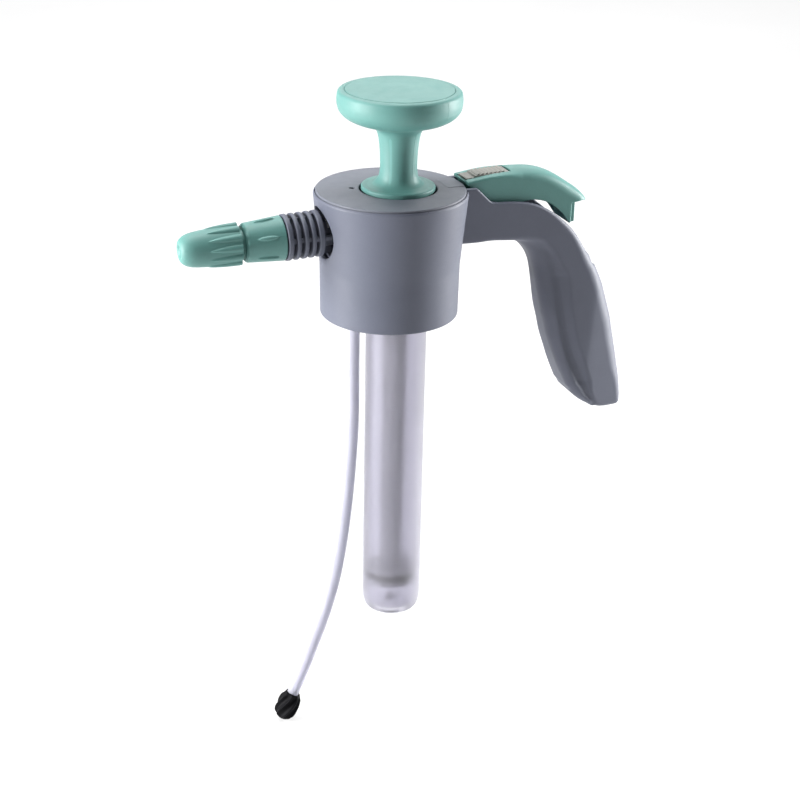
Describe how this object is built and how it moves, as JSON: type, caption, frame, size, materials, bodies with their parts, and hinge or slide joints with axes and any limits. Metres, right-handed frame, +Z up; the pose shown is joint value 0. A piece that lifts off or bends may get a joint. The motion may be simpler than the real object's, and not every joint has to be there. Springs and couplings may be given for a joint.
{
  "type": "sprayer pump head",
  "caption": "Hand compression-sprayer head: pull-up air pump with mushroom knob, thumb lever with lock slider, curved grip, adjustable nozzle, pump cylinder and dip tube with filter.",
  "frame": {"origin": "centre of the shroud's open mouth, on the axis of the bottle neck that it screws onto", "axes": "+Z up along the bottle neck and the pump, -X towards the nozzle, +X towards the grip, XZ is the plane of symmetry"},
  "size_m": [0.2273, 0.0728, 0.329],
  "materials": {
    "grey_plastic": "satin moulded polypropylene, blue grey",
    "lid_plastic": "satin moulded polypropylene, grey",
    "green_plastic": "satin moulded polypropylene, pale green",
    "slider_plastic": "satin moulded plastic, warm grey",
    "milky_plastic": "natural translucent polypropylene",
    "white_plastic": "white acetal",
    "black_rubber": "moulded nitrile rubber",
    "black_plastic": "black moulded plastic",
    "steel": "stainless steel"
  },
  "bodies": {
    "head": {"head_shroud": "grey_plastic", "grip_end_plug": "grey_plastic", "head_lid": "lid_plastic", "neck_collar": "white_plastic", "neck_gasket": "black_rubber", "neck_deck": "white_plastic", "deck_screw_1": "steel", "deck_screw_2": "steel", "deck_screw_3": "steel", "pump_cylinder": "milky_plastic", "cylinder_seal": "black_rubber", "check_valve": "black_rubber", "rod_guide": "white_plastic", "valve_body": "white_plastic", "stem_seal": "black_rubber", "valve_spring": "steel", "relief_seat": "white_plastic", "relief_spring": "steel", "relief_cap": "white_plastic", "nozzle_spigot": "grey_plastic", "nozzle_sleeve": "green_plastic", "nozzle_seal": "black_rubber", "swirl_core": "white_plastic", "trigger_pin": "steel", "dip_tube": "milky_plastic", "dip_filter": "black_plastic"},
    "plunger": {"pump_rod": "white_plastic", "pump_piston": "white_plastic", "piston_seal": "black_rubber"},
    "knob": {"knob_body": "green_plastic", "knob_cap": "green_plastic"},
    "lever": {"trigger_lever": "green_plastic"},
    "lock": {"lock_slider": "slider_plastic"},
    "link": {"valve_link": "white_plastic", "valve_stem": "white_plastic", "valve_disc": "black_rubber"},
    "spray_disc": {"orifice_disc": "green_plastic"},
    "spray_cap": {"nozzle_cap": "green_plastic"},
    "relief": {"relief_pin": "black_rubber"}
  },
  "joints": [
    {"name": "pump_stroke", "type": "slide", "parent": "head", "child": "plunger", "axis": [0, 0, 1], "range_m": [0, 0.165]},
    {"name": "knob_turn", "type": "hinge", "parent": "plunger", "child": "knob", "pos_m": [0.0036, 0, 0.06], "axis": [0, 0, 1], "range_deg": [0, 75]},
    {"name": "lever_press", "type": "hinge", "parent": "head", "child": "lever", "pos_m": [0.0386, 0, 0.0562], "axis": [0, 1, 0], "range_deg": [0, 8], "stiffness_Nm_per_rad": 0.5, "springref_deg": -5.73},
    {"name": "lock_slide", "type": "slide", "parent": "lever", "child": "lock", "axis": [-1, 0, 0], "range_m": [0, 0.0026]},
    {"name": "valve_push", "type": "slide", "parent": "head", "child": "link", "axis": [-1, 0, 0], "range_m": [0, 0.0019], "deforming": ["valve_spring"]},
    {"name": "nozzle_travel", "type": "slide", "parent": "head", "child": "spray_disc", "axis": [-0.9994, 0, -0.0349], "range_m": [-0.00125, 0.0025]},
    {"name": "nozzle_turn", "type": "hinge", "parent": "spray_disc", "child": "spray_cap", "pos_m": [-0.0333, 0, 0.0426], "axis": [-0.9994, 0, -0.0349], "range_deg": [-185, 370]},
    {"name": "relief_lift", "type": "slide", "parent": "head", "child": "relief", "axis": [0, 0, 1], "range_m": [0, 0.0015], "stiffness_N_per_m": 400, "springref_m": -0.002, "deforming": ["relief_spring"]}
  ],
  "couplings": [
    {"joint": "valve_push", "follows": "lever_press", "m_per_rad": 0.013},
    {"joint": "nozzle_turn", "follows": "nozzle_travel", "rad_per_m": 2513.3}
  ]
}
